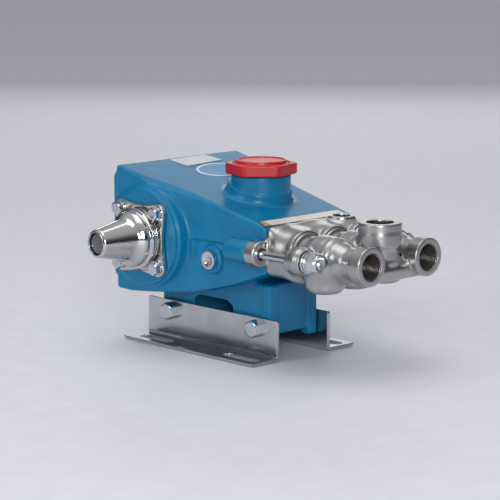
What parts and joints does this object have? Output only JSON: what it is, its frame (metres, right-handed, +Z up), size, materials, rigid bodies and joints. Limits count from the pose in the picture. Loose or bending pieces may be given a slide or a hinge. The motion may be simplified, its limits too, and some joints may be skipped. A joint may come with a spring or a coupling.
{
  "type": "pressure washer pump",
  "caption": "Triplex piston pump: blue cast crankcase on two slotted rails, polished stainless manifolds with threaded ports, red oil cap, tapered shaft protector.",
  "frame": {"origin": "on the ground, in the middle of the pump's box", "axes": "+X along the crankshaft towards the keyed end, -Y out of the front ports, +Z up"},
  "size_m": [0.238, 0.266, 0.1562],
  "materials": {
    "enamel": "gloss blue stoving enamel over a cast housing",
    "polished_stainless": "polished stainless steel",
    "cast_stainless": "tumbled and polished stainless casting",
    "rail_steel": "satin folded steel sheet",
    "zinc_fastener": "bright zinc-plated steel",
    "forged_steel": "ground forged steel",
    "bearing_bronze": "machined bronze",
    "ceramic": "polished alumina ceramic",
    "red_plastic": "moulded red polymer",
    "sight_glass": "clear moulded lens",
    "rubber": "black nitrile rubber"
  },
  "bodies": {
    "root": {"crankcase": "enamel", "rear_cover": "enamel", "oil_gauge_lens": "sight_glass", "drain_plug": "zinc_fastener", "side_plug": "zinc_fastener", "near_bearing_cover": "polished_stainless", "near_main_bearing": "forged_steel", "near_shaft_seal": "rubber", "near_manifold_stud": "zinc_fastener", "near_manifold_nut": "zinc_fastener", "near_rail": "rail_steel", "far_bearing_cover": "polished_stainless", "far_main_bearing": "forged_steel", "far_shaft_seal": "rubber", "far_manifold_stud": "zinc_fastener", "far_manifold_nut": "zinc_fastener", "far_rail": "rail_steel", "near_cover_bolt_1": "zinc_fastener", "rail_bolt_1": "zinc_fastener", "rear_cover_bolt_1": "zinc_fastener", "near_cover_bolt_2": "zinc_fastener", "rail_bolt_2": "zinc_fastener", "rear_cover_bolt_2": "zinc_fastener", "near_cover_bolt_3": "zinc_fastener", "rail_bolt_3": "zinc_fastener", "rear_cover_bolt_3": "zinc_fastener", "near_cover_bolt_4": "zinc_fastener", "rail_bolt_4": "zinc_fastener", "rear_cover_bolt_4": "zinc_fastener", "shaft_protector": "polished_stainless", "inlet_manifold": "cast_stainless", "discharge_manifold": "cast_stainless", "rod_seal_1": "rubber", "cylinder_1": "ceramic", "rod_seal_2": "rubber", "cylinder_2": "ceramic", "rod_seal_3": "rubber", "cylinder_3": "ceramic"},
    "crankshaft": {"crankshaft": "forged_steel", "shaft_key": "forged_steel"},
    "cap_lifter": {"oil_cap_gasket": "rubber"},
    "cap": {"oil_filler_cap": "red_plastic"},
    "crosshead_1": {"crosshead_rod_1": "polished_stainless", "wrist_pin_1": "forged_steel", "piston_1": "ceramic"},
    "rod_1": {"connecting_rod_1": "bearing_bronze"},
    "suction_valve_1": {"inlet_valve_1": "polished_stainless"},
    "delivery_valve_1": {"discharge_valve_1": "polished_stainless"},
    "crosshead_2": {"crosshead_rod_2": "polished_stainless", "wrist_pin_2": "forged_steel", "piston_2": "ceramic"},
    "rod_2": {"connecting_rod_2": "bearing_bronze"},
    "suction_valve_2": {"inlet_valve_2": "polished_stainless"},
    "delivery_valve_2": {"discharge_valve_2": "polished_stainless"},
    "crosshead_3": {"crosshead_rod_3": "polished_stainless", "wrist_pin_3": "forged_steel", "piston_3": "ceramic"},
    "rod_3": {"connecting_rod_3": "bearing_bronze"},
    "suction_valve_3": {"inlet_valve_3": "polished_stainless"},
    "delivery_valve_3": {"discharge_valve_3": "polished_stainless"}
  },
  "joints": [
    {"name": "crankshaft_spin", "type": "hinge", "parent": "root", "child": "crankshaft", "pos_m": [0, 0.089, 0.092], "axis": [1, 0, 0], "continuous": true},
    {"name": "plunger_1_slide", "type": "slide", "parent": "root", "child": "crosshead_1", "axis": [0, 1, 0], "range_m": [-0.01, 0]},
    {"name": "connecting_rod_1_swing", "type": "hinge", "parent": "crosshead_1", "child": "rod_1", "pos_m": [-0.033, 0.026, 0.092], "axis": [1, 0, 0], "range_deg": [-4.22, 4.22]},
    {"name": "inlet_valve_1_lift", "type": "slide", "parent": "crosshead_1", "child": "suction_valve_1", "axis": [0, -1, 0], "range_m": [0, 0.002]},
    {"name": "discharge_valve_1_lift", "type": "slide", "parent": "root", "child": "delivery_valve_1", "axis": [0, -1, 0], "range_m": [0, 0.002], "stiffness_N_per_m": 400, "springref_m": -0.004},
    {"name": "plunger_2_slide", "type": "slide", "parent": "root", "child": "crosshead_2", "axis": [0, 1, 0], "range_m": [-0.00264, 0.00736]},
    {"name": "connecting_rod_2_swing", "type": "hinge", "parent": "crosshead_2", "child": "rod_2", "pos_m": [0, 0.01864, 0.092], "axis": [1, 0, 0], "range_deg": [-7.87, 0.57]},
    {"name": "inlet_valve_2_lift", "type": "slide", "parent": "crosshead_2", "child": "suction_valve_2", "axis": [0, -1, 0], "range_m": [0, 0.002]},
    {"name": "discharge_valve_2_lift", "type": "slide", "parent": "root", "child": "delivery_valve_2", "axis": [0, -1, 0], "range_m": [0, 0.002], "stiffness_N_per_m": 400, "springref_m": -0.004},
    {"name": "plunger_3_slide", "type": "slide", "parent": "root", "child": "crosshead_3", "axis": [0, 1, 0], "range_m": [-0.00264, 0.00736]},
    {"name": "connecting_rod_3_swing", "type": "hinge", "parent": "crosshead_3", "child": "rod_3", "pos_m": [0.033, 0.01864, 0.092], "axis": [1, 0, 0], "range_deg": [-0.57, 7.87]},
    {"name": "inlet_valve_3_lift", "type": "slide", "parent": "crosshead_3", "child": "suction_valve_3", "axis": [0, -1, 0], "range_m": [0, 0.002]},
    {"name": "discharge_valve_3_lift", "type": "slide", "parent": "root", "child": "delivery_valve_3", "axis": [0, -1, 0], "range_m": [0, 0.002], "stiffness_N_per_m": 400, "springref_m": -0.004},
    {"name": "cap_lift", "type": "slide", "parent": "root", "child": "cap_lifter", "axis": [0, 0, 1], "range_m": [0, 0.0136]},
    {"name": "cap_turn", "type": "hinge", "parent": "cap_lifter", "child": "cap", "pos_m": [0, 0.021, 0.144], "axis": [0, 0, 1], "range_deg": [0, 1620]}
  ],
  "couplings": [
    {"joint": "cap_lift", "follows": "cap_turn", "m_per_rad": 0.00047746}
  ]
}
